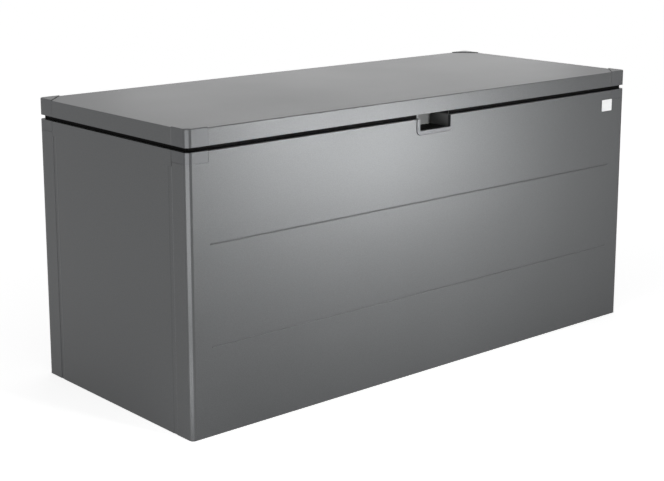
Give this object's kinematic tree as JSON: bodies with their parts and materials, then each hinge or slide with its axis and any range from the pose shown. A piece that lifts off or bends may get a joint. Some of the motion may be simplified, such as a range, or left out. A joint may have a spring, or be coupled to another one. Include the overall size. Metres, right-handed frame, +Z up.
{
  "type": "outdoor storage box",
  "caption": "Long sheet-metal garden storage box with a hinged flat lid, moulded corner caps, pressed beads and a grip notch in the front.",
  "frame": {"origin": "on the ground, below the middle of the box's plan", "axes": "+X along the box's length to the right seen from the front, +Y from the front to the hinged rear, +Z up"},
  "size_m": [1.7, 0.704, 0.8],
  "materials": {
    "body_paint": "metallic grey powder coat, satin",
    "galvanised_steel": "hot-dip galvanised sheet, dull",
    "cap_plastic": "moulded plastic in the panels' grey, satin",
    "pocket_plastic": "moulded plastic, plain light grey, matt",
    "dark_plastic": "moulded and extruded black plastic, matt",
    "black_rubber": "extruded rubber, matt",
    "zinc_steel": "zinc-plated pressed steel",
    "strut_paint": "black stove enamel, satin",
    "chrome_steel": "ground and plated steel, bright"
  },
  "bodies": {
    "box": {"front_panel": "body_paint", "rear_panel": "body_paint", "side_panel_left": "body_paint", "side_panel_right": "body_paint", "corner_post_front_left": "galvanised_steel", "corner_post_front_right": "galvanised_steel", "corner_post_rear_left": "galvanised_steel", "corner_post_rear_right": "galvanised_steel", "front_stiffener_left": "galvanised_steel", "front_stiffener_right": "galvanised_steel", "rear_stiffener_left": "galvanised_steel", "rear_stiffener_right": "galvanised_steel", "floor_panel": "galvanised_steel", "floor_rail_front": "galvanised_steel", "floor_rail_middle": "galvanised_steel", "floor_rail_rear": "galvanised_steel", "body_cap_front_left": "cap_plastic", "body_cap_front_right": "cap_plastic", "body_cap_rear_left": "cap_plastic", "body_cap_rear_right": "cap_plastic", "grip_bezel": "cap_plastic", "grip_pocket": "pocket_plastic", "rim_front": "dark_plastic", "rim_rear": "dark_plastic", "rim_left": "dark_plastic", "rim_right": "dark_plastic", "rim_corner_front_left": "dark_plastic", "rim_corner_front_right": "dark_plastic", "rim_corner_rear_left": "dark_plastic", "rim_corner_rear_right": "dark_plastic", "rim_seal": "black_rubber", "grip_mat": "black_rubber", "hinge_body_leaves": "zinc_steel", "hinge_pins": "zinc_steel", "strut_foot_bracket_left": "zinc_steel", "strut_foot_bracket_right": "zinc_steel", "lock_housing": "chrome_steel"},
    "lid": {"lid_panel": "body_paint", "lid_rib_left": "galvanised_steel", "lid_rib_middle": "galvanised_steel", "lid_rib_right": "galvanised_steel", "lid_cap_front_left": "cap_plastic", "lid_cap_front_right": "cap_plastic", "lid_cap_rear_left": "cap_plastic", "lid_cap_rear_right": "cap_plastic", "hinge_lid_leaves": "zinc_steel", "strut_head_bracket_left": "zinc_steel", "strut_head_bracket_right": "zinc_steel", "lock_striker": "zinc_steel"},
    "lock_plug": {"lock_plug": "chrome_steel", "lock_cam": "zinc_steel"},
    "strut_left": {"strut_tube_left": "strut_paint"},
    "rod_left": {"strut_rod_left": "chrome_steel"},
    "strut_right": {"strut_tube_right": "strut_paint"},
    "rod_right": {"strut_rod_right": "chrome_steel"}
  },
  "joints": [
    {"name": "lid_hinge", "type": "hinge", "parent": "box", "child": "lid", "pos_m": [0, 0.344, 0.747], "axis": [-1, 0, 0], "range_deg": [0, 75]},
    {"name": "lock_turn", "type": "hinge", "parent": "box", "child": "lock_plug", "pos_m": [0, -0.27, 0.724], "axis": [0, 1, 0], "range_deg": [0, 90]},
    {"name": "strut_swing_left", "type": "hinge", "parent": "box", "child": "strut_left", "pos_m": [-0.806, 0.26, 0.56], "axis": [-1, 0, 0], "range_deg": [0, 19.85]},
    {"name": "rod_slide_left", "type": "slide", "parent": "strut_left", "child": "rod_left", "axis": [0, -0.1909, 0.9816], "range_m": [0, 0.1205]},
    {"name": "strut_swing_right", "type": "hinge", "parent": "box", "child": "strut_right", "pos_m": [0.806, 0.26, 0.56], "axis": [-1, 0, 0], "range_deg": [0, 19.85]},
    {"name": "rod_slide_right", "type": "slide", "parent": "strut_right", "child": "rod_right", "axis": [0, -0.1909, 0.9816], "range_m": [0, 0.1205]}
  ],
  "couplings": [
    {"joint": "strut_swing_left", "follows": "lid_hinge", "ratio": 0.26399},
    {"joint": "rod_slide_left", "follows": "lid_hinge", "m_per_rad": 0.091928},
    {"joint": "strut_swing_right", "follows": "lid_hinge", "ratio": 0.26399},
    {"joint": "rod_slide_right", "follows": "lid_hinge", "m_per_rad": 0.091928}
  ]
}
